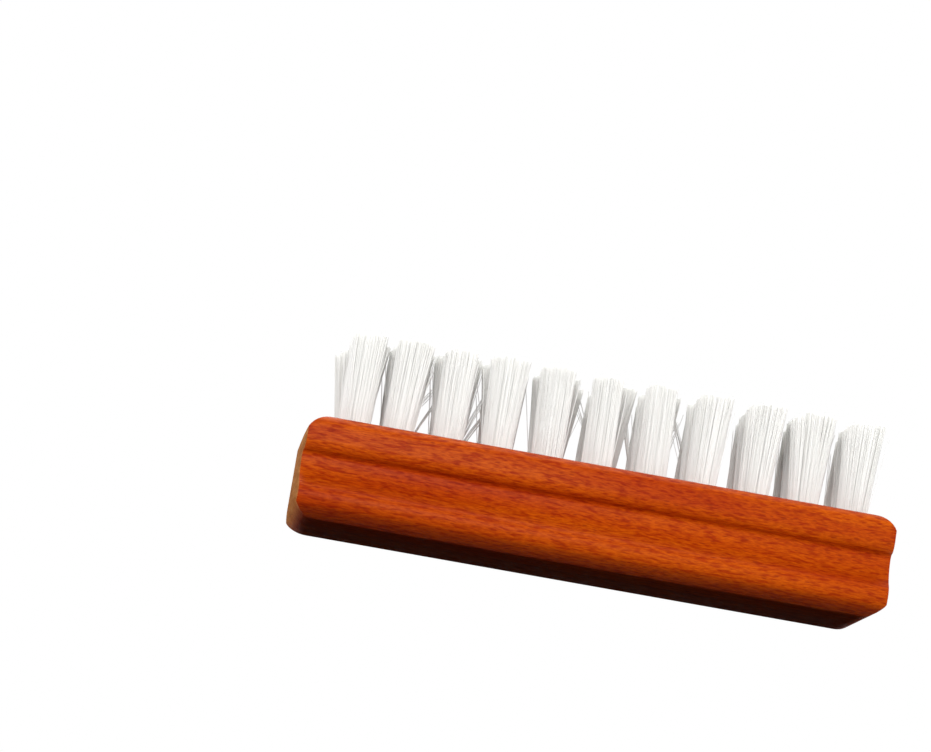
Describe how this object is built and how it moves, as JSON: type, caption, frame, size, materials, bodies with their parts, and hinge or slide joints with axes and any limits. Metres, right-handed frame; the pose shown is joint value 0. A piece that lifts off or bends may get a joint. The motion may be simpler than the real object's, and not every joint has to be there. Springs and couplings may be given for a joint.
{
  "type": "suede brush",
  "caption": "Hand brush with a grooved wood block, rounded ends and a flat back, set with aligned rows of stiff white nylon tufts.",
  "frame": {"origin": "middle of the flat back, so the bottom centre of the brush as it lies on its back with the bristles up", "axes": "+X along the block, +Y to the far long side, +Z the way the bristles stand"},
  "size_m": [0.1114, 0.032, 0.0368],
  "materials": {
    "stained_wood": "satin varnish over orange-red stain, end grain paler",
    "nylon_bristle": "white, slightly translucent filaments",
    "anchor_wire": "plain drawn wire"
  },
  "bodies": {
    "root": {"block": "stained_wood", "anchors": "anchor_wire", "tuft_front_01": "nylon_bristle", "tuft_front_02": "nylon_bristle", "tuft_front_03": "nylon_bristle", "tuft_front_04": "nylon_bristle", "tuft_front_05": "nylon_bristle", "tuft_front_06": "nylon_bristle", "tuft_front_07": "nylon_bristle", "tuft_front_08": "nylon_bristle", "tuft_front_09": "nylon_bristle", "tuft_front_10": "nylon_bristle", "tuft_front_11": "nylon_bristle", "tuft_middle_01": "nylon_bristle", "tuft_middle_02": "nylon_bristle", "tuft_middle_03": "nylon_bristle", "tuft_middle_04": "nylon_bristle", "tuft_middle_05": "nylon_bristle", "tuft_middle_06": "nylon_bristle", "tuft_middle_07": "nylon_bristle", "tuft_middle_08": "nylon_bristle", "tuft_middle_09": "nylon_bristle", "tuft_middle_10": "nylon_bristle", "tuft_middle_11": "nylon_bristle", "tuft_back_01": "nylon_bristle", "tuft_back_02": "nylon_bristle", "tuft_back_03": "nylon_bristle", "tuft_back_04": "nylon_bristle", "tuft_back_05": "nylon_bristle", "tuft_back_06": "nylon_bristle", "tuft_back_07": "nylon_bristle", "tuft_back_08": "nylon_bristle", "tuft_back_09": "nylon_bristle", "tuft_back_10": "nylon_bristle", "tuft_back_11": "nylon_bristle"}
  },
  "joints": []
}
